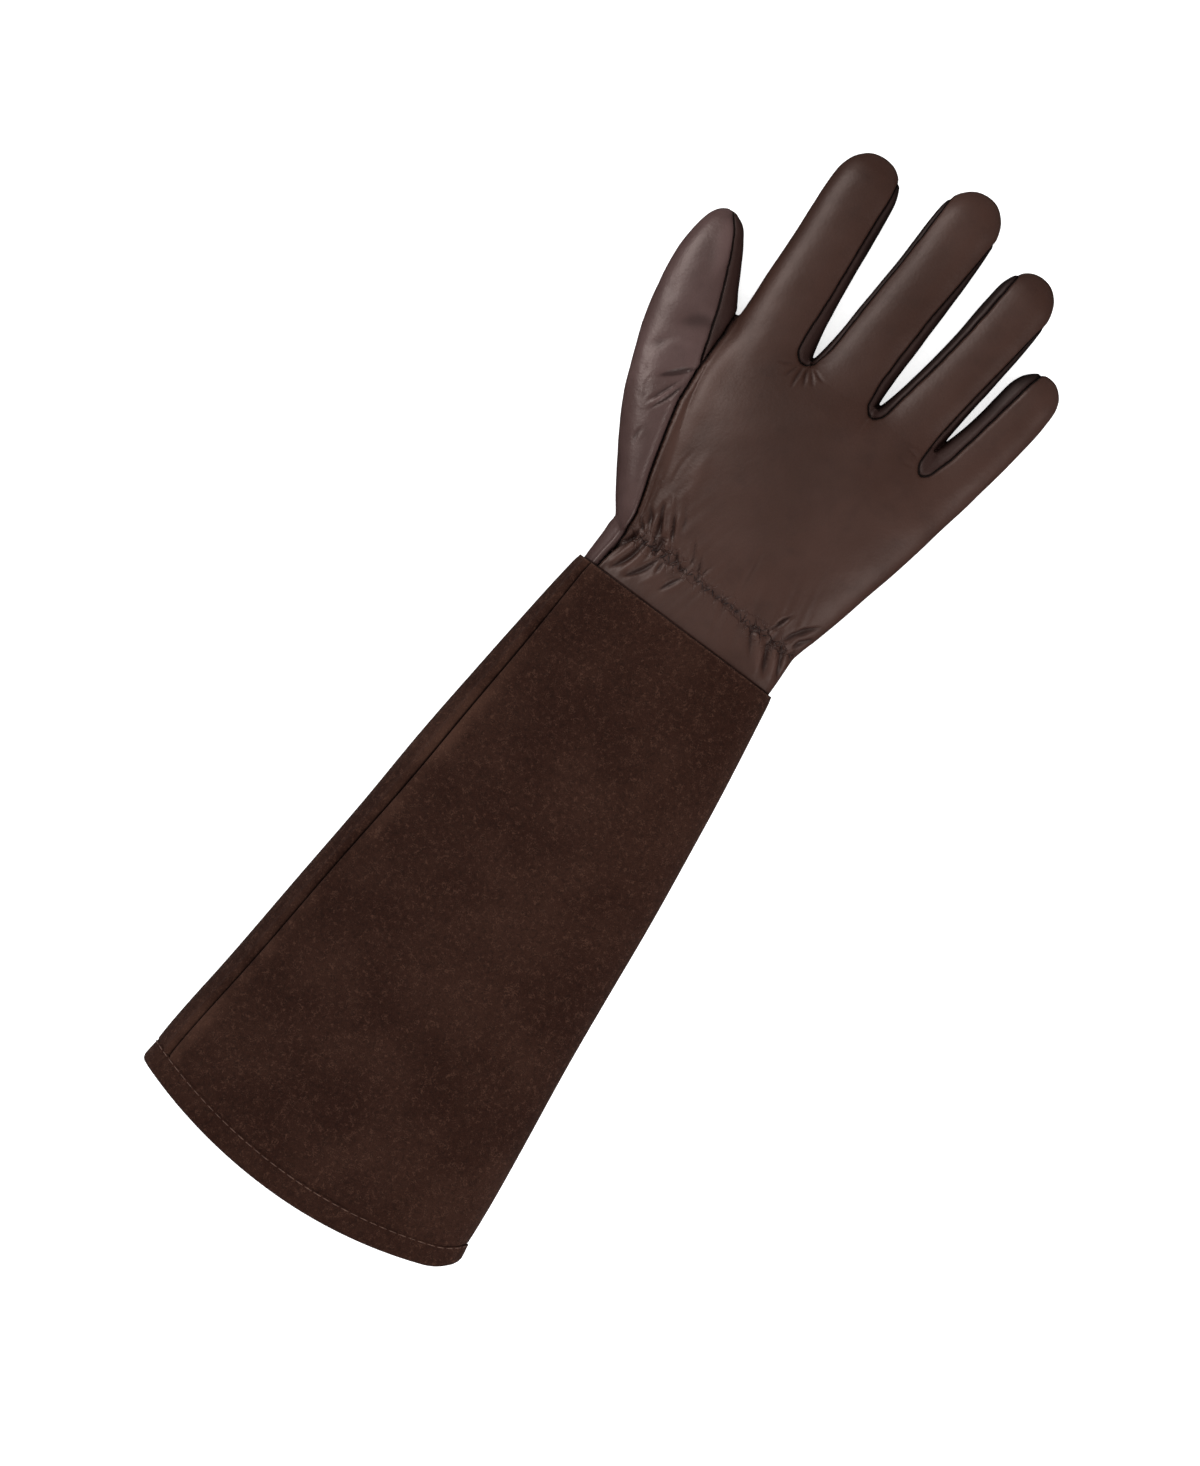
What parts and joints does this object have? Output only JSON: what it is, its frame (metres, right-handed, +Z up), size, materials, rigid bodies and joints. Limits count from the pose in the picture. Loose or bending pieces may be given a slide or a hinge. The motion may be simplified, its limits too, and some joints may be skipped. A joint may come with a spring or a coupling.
{
  "type": "rose pruning gauntlet",
  "caption": "Long right-hand gardening glove: smooth leather hand with gathered wrist, flaring suede cuff with a bound hem, lying back of the hand up.",
  "frame": {"origin": "middle of the footprint, on the floor that the glove lies on", "axes": "+Y from the cuff towards the fingertips, +X from the thumb's side to the little finger's side, +Z up, out of the back of the hand"},
  "size_m": [0.1542, 0.466, 0.04],
  "materials": {
    "smooth_leather": "soft satin grain",
    "suede": "matte suede nap"
  },
  "bodies": {
    "root": {"back_panel": "smooth_leather", "palm_panel": "smooth_leather", "thumb_back": "smooth_leather", "thumb_front": "smooth_leather", "fourchette_index_middle": "smooth_leather", "fourchette_middle_ring": "smooth_leather", "fourchette_ring_little": "smooth_leather", "cuff_panel": "suede", "hem_binding": "suede"}
  },
  "joints": []
}
